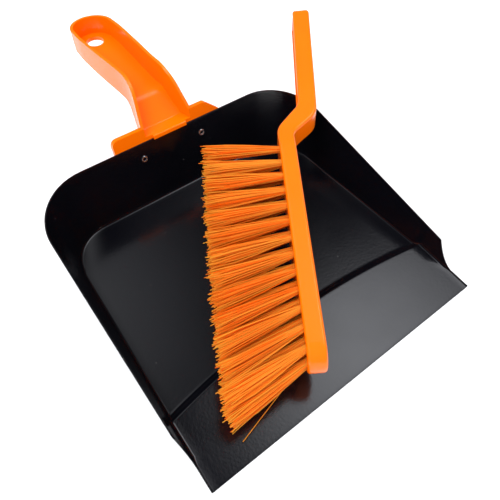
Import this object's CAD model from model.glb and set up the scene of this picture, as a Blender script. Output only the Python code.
import math

import bmesh
import bpy
import numpy as np
from bpy.props import FloatProperty, FloatVectorProperty, IntProperty, PointerProperty
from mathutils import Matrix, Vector


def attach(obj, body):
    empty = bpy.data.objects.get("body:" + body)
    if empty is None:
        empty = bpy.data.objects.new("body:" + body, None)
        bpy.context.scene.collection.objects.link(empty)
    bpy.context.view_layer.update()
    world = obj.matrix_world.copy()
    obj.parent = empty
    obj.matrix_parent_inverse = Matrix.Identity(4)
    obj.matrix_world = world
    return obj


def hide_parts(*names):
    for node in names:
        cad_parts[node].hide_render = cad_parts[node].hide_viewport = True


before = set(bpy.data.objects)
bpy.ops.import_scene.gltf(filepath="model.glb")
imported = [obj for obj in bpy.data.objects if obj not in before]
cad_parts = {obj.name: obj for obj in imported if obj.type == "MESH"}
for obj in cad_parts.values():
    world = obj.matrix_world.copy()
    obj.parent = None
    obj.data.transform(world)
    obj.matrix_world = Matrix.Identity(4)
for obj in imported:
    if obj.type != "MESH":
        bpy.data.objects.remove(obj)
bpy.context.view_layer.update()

bl_info = {
    "name": "Dust Pan and Brush Set",
    "version": (1, 0, 0),
    "blender": (4, 5, 0),
    "location": "3D View > Sidebar > Dust Pan",
    "description": "Finishes a dust pan and hand brush with bristles, enamel and moulded plastic",
    "category": "Add Mesh",
}

MM = 0.001


# ---------------------------------------------------------------- colours and nodes

def srgb(code, alpha=1.0):
    """The linear colour of an sRGB hex code such as "FF8000"."""
    channels = [int(code[i:i + 2], 16) / 255 for i in (0, 2, 4)]
    return tuple(c / 12.92 if c <= 0.04045 else ((c + 0.055) / 1.055) ** 2.4 for c in channels) + (alpha,)


def add_node(tree, kind, sockets=None, **settings):
    """Adds a node, sets its properties, and fills each socket with a value or a link."""
    node = tree.nodes.new(kind)
    for name, value in settings.items():
        setattr(node, name, value)
    for name, value in (sockets or {}).items():
        if isinstance(value, bpy.types.NodeSocket):
            tree.links.new(value, node.inputs[name])
        else:
            node.inputs[name].default_value = value
    return node


def new_material(name):
    """An empty node material with its output node."""
    material = bpy.data.materials.new(name)
    material.use_nodes = True
    material.node_tree.nodes.clear()
    return material, material.node_tree, material.node_tree.nodes.new("ShaderNodeOutputMaterial")


def per_mm(millimetres):
    """The texture scale that gives a pattern of that size, on coordinates in metres."""
    return 1 / (millimetres * MM)


def black_stoved_enamel(settings):
    """Pressed sheet steel, sprayed and stoved: a hard, rather glossy black with a faint orange peel."""
    material, tree, output = new_material("Black stoved enamel")
    place = add_node(tree, "ShaderNodeTexCoord").outputs["Object"]

    # hands and dust leave the gloss and tone uneven over a few centimetres
    smears = add_node(tree, "ShaderNodeTexNoise", {"Vector": place, "Scale": per_mm(38), "Detail": 3.0})
    gloss = add_node(tree, "ShaderNodeMapRange", {
        "Value": smears.outputs["Fac"], "From Min": 0.3, "From Max": 0.7,
        "To Min": settings.enamel_roughness - 0.02, "To Max": settings.enamel_roughness + 0.03,
    })

    # single specks of dust, drawn about half a millimetre wide so that they show
    cells = add_node(tree, "ShaderNodeTexVoronoi", {"Vector": place, "Scale": per_mm(5.5)})
    dot = add_node(tree, "ShaderNodeMath", {0: cells.outputs["Distance"], 1: 0.055}, operation="LESS_THAN")
    chosen = add_node(tree, "ShaderNodeSeparateColor", {"Color": cells.outputs["Color"]})
    few = add_node(tree, "ShaderNodeMath", {0: chosen.outputs["Red"], 1: 0.93}, operation="GREATER_THAN")
    speck = add_node(tree, "ShaderNodeMath", {0: dot.outputs[0], 1: few.outputs[0]}, operation="MULTIPLY")

    tone = add_node(tree, "ShaderNodeMix", {
        "Factor": smears.outputs["Fac"], "A": settings.enamel_colour, "B": srgb("09090E"),
    }, data_type="RGBA")
    dusty = add_node(tree, "ShaderNodeMix", {
        "Factor": speck.outputs[0], "A": tone.outputs["Result"], "B": srgb("6A6A68"),
    }, data_type="RGBA")

    # orange peel: waves about 1.8 mm long and a few microns deep, which break up what the gloss mirrors
    peel = add_node(tree, "ShaderNodeTexNoise", {"Vector": place, "Scale": per_mm(1.8), "Detail": 2.0})
    bump = add_node(tree, "ShaderNodeBump", {
        "Height": peel.outputs["Fac"], "Strength": 0.6, "Distance": 0.07 * MM,
    })
    shader = add_node(tree, "ShaderNodeBsdfPrincipled", {
        "Base Color": dusty.outputs["Result"], "Roughness": gloss.outputs["Result"],
        "IOR": 1.5, "Normal": bump.outputs["Normal"],
    })
    tree.links.new(shader.outputs[0], output.inputs["Surface"])
    return material


def moulded_polypropylene(settings):
    """Injection-moulded polypropylene: a full even orange, waxy gloss and faint flow waves."""
    material, tree, output = new_material("Moulded orange polypropylene")
    place = add_node(tree, "ShaderNodeTexCoord").outputs["Object"]

    flow = add_node(tree, "ShaderNodeTexNoise", {"Vector": place, "Scale": per_mm(45), "Detail": 2.0})
    tone = add_node(tree, "ShaderNodeMix", {
        "Factor": flow.outputs["Fac"], "A": settings.plastic_colour, "B": settings.plastic_deep_colour,
    }, data_type="RGBA")

    # fine rub marks from use, about 1 mm apart
    rub = add_node(tree, "ShaderNodeTexNoise", {"Vector": place, "Scale": per_mm(1.2), "Detail": 4.0})
    gloss = add_node(tree, "ShaderNodeMapRange", {
        "Value": rub.outputs["Fac"], "From Min": 0.3, "From Max": 0.7,
        "To Min": settings.plastic_roughness - 0.04, "To Max": settings.plastic_roughness + 0.06,
    })
    bump = add_node(tree, "ShaderNodeBump", {
        "Height": rub.outputs["Fac"], "Strength": 0.25, "Distance": 0.03 * MM,
    })
    shader = add_node(tree, "ShaderNodeBsdfPrincipled", {
        "Base Color": tone.outputs["Result"], "Roughness": gloss.outputs["Result"],
        "IOR": 1.49, "Specular IOR Level": 0.35, "Normal": bump.outputs["Normal"],
    })
    tree.links.new(shader.outputs[0], output.inputs["Surface"])
    return material


def extruded_filament(settings):
    """Extruded polypropylene bristle: thin enough for light to come through, so it glows."""
    material, tree, output = new_material("Orange extruded filament")
    shade = add_node(tree, "ShaderNodeAttribute", attribute_name="shade").outputs["Fac"]
    tone = add_node(tree, "ShaderNodeMix", {
        "Factor": shade, "A": settings.filament_deep_colour, "B": settings.filament_colour,
    }, data_type="RGBA")
    gloss = add_node(tree, "ShaderNodeMapRange", {"Value": shade, "To Min": 0.42, "To Max": 0.3})
    shader = add_node(tree, "ShaderNodeBsdfPrincipled", {
        "Base Color": tone.outputs["Result"], "Roughness": gloss.outputs["Result"], "IOR": 1.49,
        "Specular IOR Level": 0.3,
    })
    through = add_node(tree, "ShaderNodeBsdfTranslucent", {"Color": tone.outputs["Result"]})
    both = add_node(tree, "ShaderNodeMixShader", {0: 0.6, 1: shader.outputs[0], 2: through.outputs[0]})
    tree.links.new(both.outputs[0], output.inputs["Surface"])
    return material


def zinc_plated_steel():
    """Rolled steel with bright zinc plating: pale, a little blue, with fine forming marks."""
    material, tree, output = new_material("Bright zinc plated steel")
    place = add_node(tree, "ShaderNodeTexCoord").outputs["Object"]
    marks = add_node(tree, "ShaderNodeTexNoise", {"Vector": place, "Scale": per_mm(0.7), "Detail": 4.0})
    tone = add_node(tree, "ShaderNodeMix", {
        "Factor": marks.outputs["Fac"], "A": srgb("D4D6D8"), "B": srgb("F2F2EE"),
    }, data_type="RGBA")
    gloss = add_node(tree, "ShaderNodeMapRange", {
        "Value": marks.outputs["Fac"], "To Min": 0.16, "To Max": 0.32,
    })
    shader = add_node(tree, "ShaderNodeBsdfPrincipled", {
        "Base Color": tone.outputs["Result"], "Roughness": gloss.outputs["Result"], "Metallic": 1.0,
    })
    tree.links.new(shader.outputs[0], output.inputs["Surface"])
    return material


def matt_sweep_paper(settings):
    """The studio sweep: matt white paper with a fine tooth."""
    material, tree, output = new_material("Matt sweep paper")
    place = add_node(tree, "ShaderNodeTexCoord").outputs["Object"]
    tooth = add_node(tree, "ShaderNodeTexNoise", {"Vector": place, "Scale": per_mm(6), "Detail": 3.0})
    tone = add_node(tree, "ShaderNodeMix", {
        "Factor": tooth.outputs["Fac"], "A": settings.sweep_colour, "B": srgb("F4F4F3"),
    }, data_type="RGBA")
    shader = add_node(tree, "ShaderNodeBsdfPrincipled", {
        "Base Color": tone.outputs["Result"], "Roughness": 0.9, "Specular IOR Level": 0.1,
    })
    tree.links.new(shader.outputs[0], output.inputs["Surface"])
    return material


# ---------------------------------------------------------------- mesh helpers

def paint(piece, material):
    piece.data.materials.clear()
    piece.data.materials.append(material)


def finished_copy(node, name, edge_radius, sharp_degrees):
    """A copy of a solid's mesh with its sharp edges rounded off."""
    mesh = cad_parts[node].data.copy()
    mesh.name = name
    if mesh.has_custom_normals:
        mesh.attributes.remove(mesh.attributes["custom_normal"])
    work = bmesh.new()
    work.from_mesh(mesh)
    bmesh.ops.remove_doubles(work, verts=work.verts, dist=0.004 * MM)
    bmesh.ops.dissolve_limit(
        work, angle_limit=math.radians(0.05), verts=work.verts, edges=work.edges,
        use_dissolve_boundaries=False,
    )
    work.to_mesh(mesh)
    work.free()
    for polygon in mesh.polygons:
        polygon.use_smooth = True
    piece = bpy.data.objects.new(name, mesh)
    bpy.context.scene.collection.objects.link(piece)
    bevel = piece.modifiers.new("Edge round", "BEVEL")
    bevel.width = edge_radius
    bevel.segments = 3
    bevel.limit_method = "ANGLE"
    bevel.angle_limit = math.radians(sharp_degrees)
    bevel.harden_normals = True
    return piece


def tubes(name, paths, radii, sides, shade):
    """One closed thin tube along each path, as one mesh. paths is (tubes, points, 3)."""
    count, points, _ = paths.shape
    along = paths[:, -1] - paths[:, 0]
    along /= np.linalg.norm(along, axis=1)[:, None]
    across = np.cross(along, (0.0, 0.0, 1.0))
    across /= np.linalg.norm(across, axis=1)[:, None]
    over = np.cross(along, across)
    turn = np.arange(sides) * (2 * math.pi / sides)
    ring = np.cos(turn)[:, None] * across[:, None] + np.sin(turn)[:, None] * over[:, None]
    corners = paths[:, :, None] + ring[:, None] * radii[:, :, None, None]

    index = np.arange(count * points * sides).reshape(count, points, sides)
    beside = np.roll(index, -1, axis=2)
    walls = np.stack([index[:, :-1], beside[:, :-1], beside[:, 1:], index[:, 1:]], axis=-1)
    faces = walls.reshape(-1, 4).tolist()
    faces += index[:, 0, ::-1].tolist()
    faces += index[:, -1].tolist()

    mesh = bpy.data.meshes.new(name)
    mesh.from_pydata(corners.reshape(-1, 3).tolist(), [], faces)
    attribute = mesh.attributes.new("shade", "FLOAT", "POINT")
    attribute.data.foreach_set("value", np.repeat(shade, points * sides).astype(np.float32))
    for polygon in mesh.polygons:
        polygon.use_smooth = len(polygon.vertices) == 4 and sides != 4
    piece = bpy.data.objects.new(name, mesh)
    bpy.context.scene.collection.objects.link(piece)
    return piece


# ---------------------------------------------------------------- what the frame says

def solid_points(node):
    return np.array([v.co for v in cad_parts[node].data.vertices])


def tuft_line(node):
    """(root end, tip end) of a tuft's own axis, at the middles of its two flat ends."""
    points = solid_points(node)
    middle = points.mean(axis=0)
    axis = np.linalg.svd(points - middle, full_matrices=False)[2][0]
    reach = (points - middle) @ axis
    ends = [points[reach < reach.min() + 0.2 * MM], points[reach > reach.max() - 0.2 * MM]]
    ends.sort(key=lambda end: np.ptp(end, axis=0).max())
    return [(end.min(axis=0) + end.max(axis=0)) / 2 for end in ends]


def tuft_nodes():
    return sorted(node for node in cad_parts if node.startswith("tuft_row"))


# ---------------------------------------------------------------- the pan's inner surface

SHEET = 1.0
LIP_Y = -110.0
FOOT_BACK = (106.5, 97.0)
FOOT_LIP_X = 113.5
FOOT_CORNER = 33.0
RIM_X = 116.3
RIM_BACK = (108.1, 52.2)
RIM_FRONT = (-76.3, 18.5)
RIM_CORNER = 42.0
INSET = 0.95
RAMP_SLOPE = 0.0765
CREASE_Y = -54.0
CREASE_R = 568.0
CREASE_END_INSET = 1.5
CHEEK_FOOT_Y = -94.0
CHEEK_SAG = 2.8
HEM = 0.5
BEND_REACH = 1.9
RIM_OVERHANG = 0.016
CORNER_SPAN = FOOT_BACK[0] - FOOT_CORNER
CORNER_Y = FOOT_BACK[1] - FOOT_CORNER
EDGE_ROUND = 0.4
EDGE_STEPS = 8
EDGE_SQUARE = 0.6
RIM_SLOPE = math.atan2(RIM_BACK[1] - RIM_FRONT[1], RIM_BACK[0] - RIM_FRONT[0])

# how finely the surface is divided
FLOOR_COLUMNS = 49
LIP_ROWS = 9
CHEEK_ROWS = 15
ROWS_BEFORE_CREASE = (-72.0, -69.0)
FLOOR_ROWS = 17
CORNER_STEPS = 14
BEND_STEPS = 6
WALL_SHARES = (0.12, 0.3, 0.5, 0.7, 0.88, 0.97, 1.0)

# (distance behind the crest in mm, share of the step's height still left)
STEP = (
    (-2.2, 1.0), (-1.1, 1.0), (-0.5, 0.995), (-0.1, 0.98), (0.3, 0.945), (0.8, 0.86), (1.5, 0.71),
    (2.2, 0.56), (2.6, 0.5), (3.0, 0.465), (3.4, 0.415), (4.0, 0.29), (4.5, 0.16), (4.9, 0.07),
    (5.25, 0.022), (5.6, 0.004), (6.2, 0.0), (7.5, 0.0),
)


def crease_y(x):
    return CREASE_Y - x * x / (2 * CREASE_R)


def ramp_z(y):
    return SHEET + RAMP_SLOPE * (y - LIP_Y)


def floor_z(x, y):
    """Height of the floor, step or ramp inside the pan."""
    behind = y - crease_y(x)
    if behind <= STEP[0][0]:
        return ramp_z(y)
    left = np.interp(behind, [step[0] for step in STEP], [step[1] for step in STEP])
    return SHEET + (ramp_z(min(y, crease_y(x))) - SHEET) * left


def cheek_top(y):
    """Height of a side wall's front edge, a hollow curve from the rim down to the ramp's edge."""
    foot = Vector((CHEEK_FOOT_Y, ramp_z(CHEEK_FOOT_Y) + HEM))
    top = Vector(RIM_FRONT)
    share = (y - foot.x) / (top.x - foot.x)
    return foot.y + (top.y - foot.y) * share - 4 * CHEEK_SAG * share * (1 - share)


def wall_line(side, station):
    """(inner foot, inner rim) of the wall at a station: a place on the side or back, or a corner's angle."""
    kind, value = station
    slope = (math.cos(RIM_SLOPE), math.sin(RIM_SLOPE))
    if kind == "side":
        taper = (FOOT_BACK[1] - value) / (FOOT_BACK[1] - LIP_Y)
        foot_x = FOOT_BACK[0] + (FOOT_LIP_X - FOOT_BACK[0]) * taper
        rim_y = value + (value - LIP_Y) * RIM_OVERHANG
        foot = (foot_x - INSET, value)
        rim = (RIM_X - INSET, rim_y, RIM_BACK[1] + (rim_y - RIM_BACK[0]) * math.tan(RIM_SLOPE))
    elif kind == "corner":
        across, along = math.cos(value), math.sin(value)
        foot = (CORNER_SPAN + (FOOT_CORNER - INSET) * across, CORNER_Y + (FOOT_CORNER - INSET) * along)
        down = RIM_CORNER - (RIM_CORNER - INSET) * along
        rim_x = RIM_X - RIM_CORNER + (RIM_CORNER - INSET) * across
        rim = (rim_x, RIM_BACK[0] - down * slope[0], RIM_BACK[1] - down * slope[1])
    else:
        share = value / CORNER_SPAN
        foot = (value, FOOT_BACK[1] - INSET)
        rim_y, rim_z = RIM_BACK[0] - INSET * slope[0], RIM_BACK[1] - INSET * slope[1]
        rim = ((RIM_X - RIM_CORNER) * share, rim_y, rim_z)
    return Vector((side * foot[0], foot[1], SHEET)), Vector((side * rim[0], rim[1], rim[2]))


def side_stations():
    """(y of a row at the wall, y of the same row on the middle line) from lip to corner."""
    wall_crest = crease_y(FOOT_LIP_X - CREASE_END_INSET)
    front = np.linspace(LIP_Y, CHEEK_FOOT_Y, LIP_ROWS)
    cheek = np.linspace(CHEEK_FOOT_Y, RIM_FRONT[0], CHEEK_ROWS)[1:]
    rows = []
    for y in (*front, *cheek, *ROWS_BEFORE_CREASE):
        share = (y - LIP_Y) / (wall_crest - LIP_Y)
        rows.append((y, LIP_Y + share * (CREASE_Y - LIP_Y)))
    rows += [(wall_crest + step[0], CREASE_Y + step[0]) for step in STEP]
    start = rows[-1]
    for share in np.linspace(0, 1, FLOOR_ROWS)[1:]:
        rows.append(tuple(y + (CORNER_Y - y) * share for y in start))
    return rows


def bend_and_wall(foot, rim, top_share, floor_height, slope_in):
    """Points of the bend between floor and wall, then of the wall up to its top."""
    rise = rim.z - foot.z
    corner = foot.lerp(rim, (floor_height - foot.z) / rise)
    top = foot.lerp(rim, top_share)
    reach = min(BEND_REACH, (top - corner).length * 0.8)
    before = corner + slope_in * reach
    after = corner + (top - corner).normalized() * reach
    line = []
    for step in range(BEND_STEPS + 1):
        t = step / BEND_STEPS
        line.append(before * (1 - t) ** 2 + corner * (2 * t * (1 - t)) + after * t ** 2)
    for share in WALL_SHARES:
        line.append(after.lerp(top, share))
    return line


def inward(station, side):
    """The level direction from a side wall or a corner into the pan."""
    kind, value = station
    if kind == "side":
        return Vector((-side, 0, 0))
    return Vector((-side * math.cos(value), -math.sin(value), 0))


def side_wall(side, station):
    """Bend and wall at a station of a side or corner, up to the rim or to the cheek's hollow edge."""
    foot, rim = wall_line(side, station)
    height = floor_z(foot.x, foot.y)
    kind, y = station
    top_share = 1.0
    if kind == "side" and y < RIM_FRONT[0]:
        top = max(cheek_top(y), height + HEM) if y > CHEEK_FOOT_Y else height + HEM
        top_share = (top - foot.z) / (rim.z - foot.z)
    return bend_and_wall(foot, rim, top_share, height, inward(station, side))


def floor_row(left, right, middle):
    """One row of the floor from wall to wall; it bows to its place on the middle line, if it has one."""
    row = []
    for share in np.linspace(-1, 1, FLOOR_COLUMNS):
        x = left.x + (right.x - left.x) * (share + 1) / 2
        y = left.y if middle is None else middle - (middle - left.y) * share * share
        row.append(Vector((x, y, floor_z(x, y))))
    return row


def back_wall(last_row):
    """Bend and wall behind every point of the floor's last row."""
    half = abs(last_row[0].x)
    walls = []
    for spot in last_row:
        side = -1 if spot.x < 0 else 1
        foot, rim = wall_line(side, ("back", abs(spot.x) * CORNER_SPAN / half))
        walls.append(bend_and_wall(foot, rim, 1.0, SHEET, Vector((0, -1, 0))))
    return walls


def pan_sheet_mesh():
    """The pan: a grid for floor and ramp and one for bends and walls, with the sheet's thickness behind."""
    stations = [(("side", y), middle) for y, middle in side_stations()]
    corner_angles = np.arange(1, CORNER_STEPS + 1) / CORNER_STEPS * math.pi / 2
    stations += [(("corner", angle), None) for angle in corner_angles]
    walls = [[side_wall(side, station) for side in (-1, 1)] for station, _ in stations]
    rows = [floor_row(ends[0][0], ends[1][0], middle) for ends, (_, middle) in zip(walls, stations)]
    back = back_wall(rows[-1])

    points, faces = [], []

    def keep(point):
        points.append(point * MM)
        return len(points) - 1

    grid = [[keep(point) for point in row] for row in rows]
    for below, above in zip(grid, grid[1:]):
        for column in range(FLOOR_COLUMNS - 1):
            faces.append((below[column], below[column + 1], above[column + 1], above[column]))

    loop = [(grid[i][0], walls[i][0]) for i in range(len(grid))]
    loop += [(grid[-1][i], back[i]) for i in range(1, FLOOR_COLUMNS - 1)]
    loop += [(grid[i][-1], walls[i][1]) for i in reversed(range(len(grid)))]
    strips = [[first] + [keep(point) for point in line[1:]] for first, line in loop]
    for near, far in zip(strips, strips[1:]):
        for level in range(len(near) - 1):
            faces.append((near[level], far[level], far[level + 1], near[level + 1]))
    edge = strips[0][::-1] + grid[0][1:-1] + strips[-1] + [strip[-1] for strip in strips[-2:0:-1]]
    return thick_sheet("pan_shell_pressing", points, faces, edge)


def thick_sheet(name, points, faces, edge):
    """Gives a surface the thickness of the sheet behind it, closed by a rounded edge along the loop."""
    surface = bpy.data.meshes.new(name)
    surface.from_pydata(points, [], faces)
    normals = [Vector(vertex.normal) for vertex in surface.vertices]
    count = len(points)
    points = points + [point - normal * SHEET * MM for point, normal in zip(points, normals)]
    faces = faces + [tuple(count + corner for corner in reversed(face)) for face in faces]

    rings = []
    for place, corner in enumerate(edge):
        tangent = points[edge[(place + 1) % len(edge)]] - points[edge[place - 1]]
        outward = tangent.cross(normals[corner]).normalized() * EDGE_ROUND * MM
        half = normals[corner] * SHEET / 2 * MM
        middle = points[corner] - half
        ring = [corner]
        for step in range(1, EDGE_STEPS):
            angle = math.pi * step / EDGE_STEPS
            across = math.copysign(abs(math.cos(angle)) ** EDGE_SQUARE, math.cos(angle))
            points.append(middle + half * across + outward * math.sin(angle) ** EDGE_SQUARE)
            ring.append(len(points) - 1)
        rings.append(ring + [count + corner])
    for place, ring in enumerate(rings):
        beside = rings[(place + 1) % len(rings)]
        for step in range(EDGE_STEPS):
            faces.append((ring[step], ring[step + 1], beside[step + 1], beside[step]))
    mesh = bpy.data.meshes.new(name)
    mesh.from_pydata(points, [], faces)
    for polygon in mesh.polygons:
        polygon.use_smooth = True
    return mesh


# ---------------------------------------------------------------- settings

class PanSettings(bpy.types.PropertyGroup):
    enamel_colour: FloatVectorProperty(
        name="Enamel", description="Colour of the pan's enamel", subtype="COLOR", size=4,
        min=0.0, max=1.0, default=srgb("06060A"))
    enamel_roughness: FloatProperty(
        name="Enamel roughness", description="Roughness of the pan's enamel", min=0.0, max=1.0, default=0.16)
    moulding_edge: FloatProperty(
        name="Moulding edge radius", description="Rounding on the outer edges of the pan's handle",
        unit="LENGTH", min=0.0, default=0.9 * MM)
    rivet_head: FloatProperty(
        name="Rivet head radius", description="Radius of the domed head behind the pan", unit="LENGTH",
        min=0.0, default=3.2 * MM)
    rivet_shank: FloatProperty(
        name="Rivet shank radius", description="Radius of the rivet's shank", unit="LENGTH",
        min=0.0, default=1.9 * MM)
    rivet_roll: FloatProperty(
        name="Rivet roll radius", description="Outer radius of the rolled ring", unit="LENGTH",
        min=0.0, default=2.8 * MM)
    rivet_bore: FloatProperty(
        name="Rivet bore radius", description="Radius of the open bore", unit="LENGTH",
        min=0.0, default=1.1 * MM)
    plastic_colour: FloatVectorProperty(
        name="Plastic", description="Colour of the mouldings", subtype="COLOR", size=4,
        min=0.0, max=1.0, default=srgb("FF7300"))
    plastic_deep_colour: FloatVectorProperty(
        name="Plastic, deep", description="Deeper colour in the mouldings' flow waves",
        subtype="COLOR", size=4, min=0.0, max=1.0, default=srgb("FD6B00"))
    plastic_roughness: FloatProperty(
        name="Plastic roughness", description="Roughness of the mouldings", min=0.0, max=1.0, default=0.2)


class BrushSettings(bpy.types.PropertyGroup):
    filament_colour: FloatVectorProperty(
        name="Filament", description="Colour of the palest bristles", subtype="COLOR", size=4,
        min=0.0, max=1.0, default=srgb("FFC244"))
    filament_deep_colour: FloatVectorProperty(
        name="Filament, deep", description="Colour of the deepest bristles", subtype="COLOR", size=4,
        min=0.0, max=1.0, default=srgb("FF8606"))
    filament_radius: FloatProperty(
        name="Filament radius", description="Radius of one bristle", unit="LENGTH",
        min=0.0, default=0.28 * MM)
    filaments_per_tuft: IntProperty(
        name="Filaments per tuft", description="How many bristles fill one hole", min=8, max=200, default=78)
    root_radius: FloatProperty(
        name="Root radius", description="Radius of a tuft where it leaves its hole", unit="LENGTH",
        min=0.0, default=2.3 * MM)
    tip_radius: FloatProperty(
        name="Tip radius", description="Radius of a tuft at its tip", unit="LENGTH",
        min=0.0, default=6.2 * MM)
    trim: FloatProperty(
        name="Trim", description="How much shorter the bristles are than the solid tufts", unit="LENGTH",
        min=0.0, default=2.2 * MM)
    tip_scatter: FloatProperty(
        name="Tip scatter", description="How far a bristle's tip strays from its even place", unit="LENGTH",
        min=0.0, default=0.75 * MM)
    trim_unevenness: FloatProperty(
        name="Trim unevenness", description="How far a bristle's length strays from the others'",
        unit="LENGTH", min=0.0, default=1.3 * MM)
    sway: FloatProperty(
        name="Sway", description="How far a bristle bows between its root and its tip",
        unit="LENGTH", min=0.0, default=1.1 * MM)


class StageSettings(bpy.types.PropertyGroup):
    sweep_colour: FloatVectorProperty(
        name="Sweep", description="Colour of the studio sweep", subtype="COLOR", size=4,
        min=0.0, max=1.0, default=srgb("FAFAF9"))
    key_power: FloatProperty(
        name="Key light", description="Power of the large overhead softbox", unit="POWER",
        min=0.0, default=4.0)
    side_power: FloatProperty(
        name="Side light", description="Power of the softbox behind the handle", unit="POWER",
        min=0.0, default=2.2)
    fill_power: FloatProperty(
        name="Fill light", description="Power of the softbox on the bristle side", unit="POWER",
        min=0.0, default=13.0)
    room_strength: FloatProperty(
        name="Room light", description="Strength of the even light from all round", min=0.0, default=0.95)
    room_in_gloss: FloatProperty(
        name="Room in gloss", description="Strength of the room as gloss mirrors it", min=0.0, default=0.04)
    key_in_gloss: FloatProperty(
        name="Key in gloss", description="Strength of the overhead softbox as gloss mirrors it",
        min=0.0, default=4.5)
    side_in_gloss: FloatProperty(
        name="Side in gloss", description="Strength of the side softbox as gloss mirrors it",
        min=0.0, default=1.1)


# ---------------------------------------------------------------- pan

class PAN_OT_shell(bpy.types.Operator):
    """Builds the pan as one pressed sheet with rounded edges and enamels it"""
    bl_idname = "dust_pan.shell"
    bl_label = "Pan shell"

    def execute(self, context):
        settings = context.scene.dust_pan
        shell = bpy.data.objects.new("pan_shell_pressing", pan_sheet_mesh())
        context.scene.collection.objects.link(shell)
        paint(shell, black_stoved_enamel(settings))
        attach(shell, "pan")
        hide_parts("pan_shell")
        return {"FINISHED"}


class PAN_OT_handle(bpy.types.Operator):
    """Rounds the edges of the pan's moulded handle and colours it"""
    bl_idname = "dust_pan.handle"
    bl_label = "Pan handle"

    # edges that turn by more than this are rounded
    SHARP_DEGREES = 34

    def execute(self, context):
        settings = context.scene.dust_pan
        radius = settings.moulding_edge
        handle = finished_copy("pan_handle", "pan_handle_moulding", radius, self.SHARP_DEGREES)
        paint(handle, moulded_polypropylene(settings))
        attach(handle, "pan")
        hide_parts("pan_handle")
        return {"FINISHED"}


def turned(name, centre, axis, outline, steps):
    """A closed piece turned about an axis from an outline of (radius, place along the axis)."""
    across = axis.orthogonal().normalized()
    over = axis.cross(across)
    points, faces, rings = [], [], []
    for radius, place in outline:
        ring = []
        for step in range(steps if radius else 1):
            turn = 2 * math.pi * step / steps
            points.append(centre + axis * place + (across * math.cos(turn) + over * math.sin(turn)) * radius)
            ring.append(len(points) - 1)
        rings.append(ring if radius else ring * steps)
    for near, far in zip(rings, rings[1:]):
        for step in range(steps):
            beside = (step + 1) % steps
            face = [near[step], near[beside], far[beside], far[step]]
            faces.append(list(dict.fromkeys(face)))
    mesh = bpy.data.meshes.new(name)
    mesh.from_pydata(points, [], faces)
    for polygon in mesh.polygons:
        polygon.use_smooth = True
    piece = bpy.data.objects.new(name, mesh)
    bpy.context.scene.collection.objects.link(piece)
    return piece


def rivet_outline(back, front, settings):
    """Domed head behind, shank, rolled ring in front and the tube's open bore."""
    head, roll, bore = settings.rivet_head, settings.rivet_roll, settings.rivet_bore
    ring = (roll - bore) / 2
    outline = [(0.0, back)]
    for angle in np.linspace(0.2, math.pi / 2, 7):
        outline.append((head * math.sin(angle), back + head / 2 * (1 - math.cos(angle))))
    outline += [(settings.rivet_shank, outline[-1][1]), (settings.rivet_shank, front - 1.6 * ring)]
    for angle in np.linspace(-0.6, math.pi, 12):
        outline.append((bore + ring + ring * math.cos(angle), front - ring + ring * math.sin(angle)))
    return outline + [(bore, front - 3 * ring), (0.0, front - 3 * ring)]


class PAN_OT_rivets(bpy.types.Operator):
    """Rolls the ends of the two tubular rivets and plates rivets, washers and staples"""
    bl_idname = "dust_pan.rivets"
    bl_label = "Rivets and staples"

    TURNED_STEPS = 40

    def execute(self, context):
        settings = context.scene.dust_pan
        zinc = zinc_plated_steel()
        for node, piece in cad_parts.items():
            if node.startswith(("rivet_washer", "anchor_staples")):
                paint(piece, zinc)
        for side in ("left", "right"):
            node = f"rivet_{side}"
            ring, solid = solid_points(f"rivet_washer_{side}"), solid_points(node)
            axis = np.linalg.svd(ring - ring.mean(axis=0), full_matrices=False)[2][2]
            centre = (ring.min(axis=0) + ring.max(axis=0)) / 2
            if (solid.mean(axis=0) - centre) @ axis < 0:
                axis = -axis
            reach = (solid - centre) @ axis
            outline = rivet_outline(reach.min(), reach.max(), settings)
            piece = turned(f"{node}_rolled", Vector(centre), Vector(axis), outline, self.TURNED_STEPS)
            paint(piece, zinc)
            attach(piece, "pan")
            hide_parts(node)
        return {"FINISHED"}


# ---------------------------------------------------------------- brush

class BRUSH_OT_body(bpy.types.Operator):
    """Colours the brush's moulded block, neck and handle"""
    bl_idname = "dust_pan.brush_body"
    bl_label = "Brush body"

    def execute(self, context):
        paint(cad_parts["brush_body"], moulded_polypropylene(context.scene.dust_pan))
        return {"FINISHED"}


# turn from one bristle to the next, which packs them evenly, in degrees
GOLDEN_ANGLE = 137.5
# places of a path's points along a bristle; up to the second one it stands in its hole
BRISTLE_SHARES = (0.0, 0.13, 0.32, 0.52, 0.76, 1.0)
# under 1, the bristles spread soon after they leave the hole
SPREAD_POWER = 0.9
BRISTLE_SIDES = 5


def bristle_paths(node, settings, chance):
    """Paths for the bristles of one tuft: packed at the root, spread and uneven at the tip."""
    count = settings.filaments_per_tuft
    root, tip = tuft_line(node)
    along = (tip - root) / np.linalg.norm(tip - root)
    across = np.cross(along, (0.0, 0.0, 1.0))
    across /= np.linalg.norm(across)
    over = np.cross(along, across)

    turn = np.arange(count) * math.radians(GOLDEN_ANGLE) + chance.uniform(0, 2 * math.pi)
    out = np.sqrt((np.arange(count) + 0.5) / count)
    spot = np.stack([np.cos(turn) * out, np.sin(turn) * out], axis=1)
    start = spot * settings.root_radius
    end = spot * settings.tip_radius + chance.normal(0, settings.tip_scatter, (count, 2))
    bow = chance.normal(0, settings.sway, (count, 2))
    length = np.linalg.norm(tip - root) - settings.trim + chance.normal(0, settings.trim_unevenness, count)

    share = np.array(BRISTLE_SHARES)
    free = np.clip((share - share[1]) / (1 - share[1]), 0, 1)
    offset = start[:, None] + (end - start)[:, None] * free[None, :, None] ** SPREAD_POWER
    offset += bow[:, None] * (np.sin(free * math.pi) * free)[None, :, None]
    line = root + along * (share[None, :] * length[:, None])[:, :, None]
    return line + offset[:, :, :1] * across + offset[:, :, 1:] * over


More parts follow.
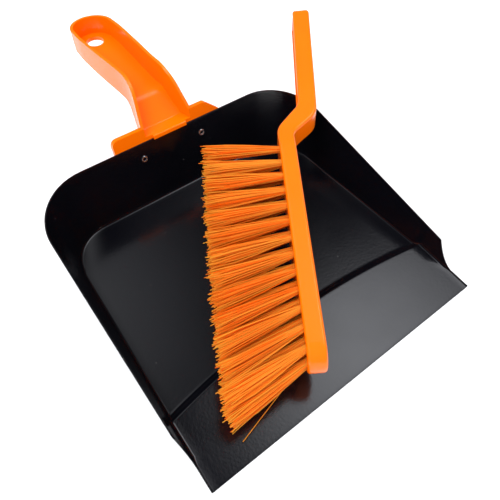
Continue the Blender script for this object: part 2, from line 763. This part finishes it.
def lie_on_pan(paths, clearance):
    """Lifts every point that would pass into the pan's floor or ramp to just above it."""
    for point in paths.reshape(-1, 3):
        level = floor_z(point[0] / MM, point[1] / MM) * MM + clearance
        point[2] = max(point[2], level)
    return paths


class BRUSH_OT_bristles(bpy.types.Operator):
    """Fills each hole of the brush with a tuft of separate bristles"""
    bl_idname = "dust_pan.bristles"
    bl_label = "Bristles"

    # (root end, tip end) of each stray bristle in mm
    STRAYS = (
        ((-39.1, -89.8, 20.0), (-86.1, -92.0, 4.5)),
        ((-35.5, -89.3, 20.0), (-83.7, -99.2, 4.5)),
    )
    STRAY_BOW = 1.0
    STRAY_SHADES = (0.9, 0.7)

    def execute(self, context):
        settings = context.scene.hand_brush
        material = extruded_filament(settings)
        chance = np.random.default_rng(7)
        for node in tuft_nodes():
            paths = lie_on_pan(bristle_paths(node, settings, chance), 2 * settings.filament_radius)
            radii = np.full(paths.shape[:2], settings.filament_radius)
            shade = chance.uniform(0, 1, len(paths)) ** 0.8
            piece = tubes(node.replace("tuft", "bristles"), paths, radii, BRISTLE_SIDES, shade)
            paint(piece, material)
            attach(piece, "brush")
            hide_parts(node)
        self.strays(settings, material)
        return {"FINISHED"}

    def strays(self, settings, material):
        """Two long bristles that have come away from the last tuft."""
        ends = np.array(self.STRAYS) * MM
        share = np.linspace(0, 1, 6)[None, :, None]
        paths = ends[:, :1] + (ends[:, 1:] - ends[:, :1]) * share
        paths[:, :, 2] += np.sin(share[:, :, 0] * math.pi) * self.STRAY_BOW * MM
        radii = np.full(paths.shape[:2], settings.filament_radius)
        piece = tubes("bristles_stray", paths, radii, BRISTLE_SIDES, np.array(self.STRAY_SHADES))
        paint(piece, material)
        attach(piece, "brush")


# ---------------------------------------------------------------- stage

def towards(heading, height):
    """The direction of a compass heading from +Y and a height above the ground, in degrees."""
    turn, rise = math.radians(heading), math.radians(height)
    return Vector((math.sin(turn) * math.cos(rise), math.cos(turn) * math.cos(rise), math.sin(rise)))


def area_light(name, direction, distance, width, power, colour, aim):
    """A round softbox facing aim from a direction; gloss mirrors the room's glow in its place."""
    data = bpy.data.lights.new(name, "AREA")
    data.shape = "DISK"
    data.size = width
    data.energy = power
    data.color = colour[:3]
    light = bpy.data.objects.new(name, data)
    light.location = Vector(aim) + direction * distance
    light.rotation_euler = direction.to_track_quat("Z", "Y").to_euler()
    light.visible_glossy = False
    bpy.context.scene.collection.objects.link(light)
    return light


def soft_lobe(tree, place, direction, reach, strength):
    """A glow in the room around a direction, gone at reach degrees from it."""
    near = add_node(tree, "ShaderNodeVectorMath", {0: place, 1: direction}, operation="DOT_PRODUCT")
    away = add_node(tree, "ShaderNodeMath", {0: near.outputs["Value"]}, operation="ARCCOSINE")
    return add_node(tree, "ShaderNodeMapRange", {
        "Value": away.outputs[0], "From Min": math.radians(reach), "From Max": 0.0, "To Max": strength,
    }, interpolation_type="SMOOTHSTEP").outputs["Result"]


def room_light(settings):
    """An even pale room for matt surfaces; gloss mirrors a dim room with two soft-edged softboxes."""
    world = bpy.data.worlds.new("Room")
    world.use_nodes = True
    tree = world.node_tree
    tree.nodes.clear()
    place = add_node(tree, "ShaderNodeTexCoord").outputs["Generated"]
    key = soft_lobe(tree, place, towards(88, 65), 23, settings.key_in_gloss)
    side = soft_lobe(tree, place, towards(-10, 56), 28, settings.side_in_gloss)
    lobes = add_node(tree, "ShaderNodeMath", {0: key, 1: side}, operation="ADD")
    mirrored = add_node(tree, "ShaderNodeMath", {
        0: lobes.outputs[0], 1: settings.room_in_gloss,
    }, operation="ADD").outputs[0]
    ray = add_node(tree, "ShaderNodeLightPath")
    strength = add_node(tree, "ShaderNodeMapRange", {
        "Value": ray.outputs["Is Glossy Ray"],
        "To Min": settings.room_strength, "To Max": mirrored,
    })
    light = add_node(tree, "ShaderNodeBackground", {"Strength": strength.outputs["Result"]})
    light.inputs["Color"].default_value = srgb("F7F9FF")
    output = add_node(tree, "ShaderNodeOutputWorld", {"Surface": light.outputs[0]})
    output.is_active_output = True
    bpy.context.scene.world = world


class STAGE_OT_studio(bpy.types.Operator):
    """Adds the sweep, the studio lights and the camera"""
    bl_idname = "dust_pan.studio"
    bl_label = "Studio"

    CAMERA_AIM = (5.09, 10.84, 0.0)
    CAMERA_HEADING = -38.758
    CAMERA_HEIGHT = 54.933
    CAMERA_ROLL = 1.919
    CAMERA_DISTANCE = 365.445
    CAMERA_LENS = 34.27
    SWEEP_RADIUS = 6.0
    LIGHT_AIM = (0.02, -0.05, 0.0)

    def sweep(self, settings):
        """A wide round sheet of paper on the ground, its middle under the pan."""
        work = bmesh.new()
        bmesh.ops.create_circle(work, cap_ends=True, radius=self.SWEEP_RADIUS, segments=96)
        mesh = bpy.data.meshes.new("sweep")
        work.to_mesh(mesh)
        work.free()
        sweep = bpy.data.objects.new("sweep", mesh)
        bpy.context.scene.collection.objects.link(sweep)
        paint(sweep, matt_sweep_paper(settings))

    def camera(self):
        angles = (self.CAMERA_HEADING, self.CAMERA_HEIGHT, self.CAMERA_ROLL)
        turn, rise, roll = (math.radians(angle) for angle in angles)
        back = Vector((math.sin(turn) * math.cos(rise), -math.cos(turn) * math.cos(rise), math.sin(rise)))
        data = bpy.data.cameras.new("Camera")
        data.lens = self.CAMERA_LENS
        data.clip_start = 0.01
        camera = bpy.data.objects.new("Camera", data)
        camera.location = Vector(self.CAMERA_AIM) * MM + back * self.CAMERA_DISTANCE * MM
        right = (-back).cross(Vector((0, 0, 1))).normalized()
        up = right.cross(-back)
        level = math.cos(roll) * right + math.sin(roll) * up
        upright = -math.sin(roll) * right + math.cos(roll) * up
        rotation = camera.matrix_world.to_3x3()
        for column, axis in enumerate((level, upright, back)):
            rotation.col[column] = axis
        camera.rotation_mode = "QUATERNION"
        camera.rotation_quaternion = rotation.to_quaternion()
        bpy.context.scene.collection.objects.link(camera)
        bpy.context.scene.camera = camera

    def execute(self, context):
        settings = context.scene.studio
        self.sweep(settings)
        room_light(settings)
        white, cool = srgb("FFFFFF"), srgb("F4F8FF")
        for name, direction, distance, width, power, colour in (
            ("Key softbox", towards(88, 65), 1.2, 0.62, settings.key_power, white),
            ("Side softbox", towards(-15, 56), 1.3, 0.9, settings.side_power, cool),
            ("Fill softbox", towards(-95, 58), 1.4, 1.0, settings.fill_power, white),
        ):
            area_light(name, direction, distance, width, power, colour, self.LIGHT_AIM)
        self.camera()
        context.scene.view_settings.view_transform = "Standard"
        return {"FINISHED"}


# ---------------------------------------------------------------- panel and registration

STEPS = (PAN_OT_shell, PAN_OT_handle, PAN_OT_rivets, BRUSH_OT_body, BRUSH_OT_bristles, STAGE_OT_studio)
GROUPS = {"dust_pan": PanSettings, "hand_brush": BrushSettings, "studio": StageSettings}


class PAN_PT_sidebar(bpy.types.Panel):
    """Lists the settings and the steps that finish the set"""
    bl_idname = "PAN_PT_sidebar"
    bl_label = "Dust pan and brush"
    bl_space_type = "VIEW_3D"
    bl_region_type = "UI"
    bl_category = "Dust Pan"

    def draw(self, context):
        for group in GROUPS:
            settings = getattr(context.scene, group)
            column = self.layout.column(align=True)
            for name in settings.bl_rna.properties.keys():
                if name not in ("rna_type", "name"):
                    column.prop(settings, name)
        for step in STEPS:
            self.layout.operator(step.bl_idname)


def register():
    for kind in (*GROUPS.values(), *STEPS, PAN_PT_sidebar):
        bpy.utils.register_class(kind)
    for name, group in GROUPS.items():
        setattr(bpy.types.Scene, name, PointerProperty(type=group))


def unregister():
    for name in GROUPS:
        delattr(bpy.types.Scene, name)
    for kind in reversed((*GROUPS.values(), *STEPS, PAN_PT_sidebar)):
        bpy.utils.unregister_class(kind)


def main():
    register()
    bpy.ops.dust_pan.shell()
    bpy.ops.dust_pan.handle()
    bpy.ops.dust_pan.rivets()
    bpy.ops.dust_pan.brush_body()
    bpy.ops.dust_pan.bristles()
    bpy.ops.dust_pan.studio()


if __name__ == "__main__":
    main()
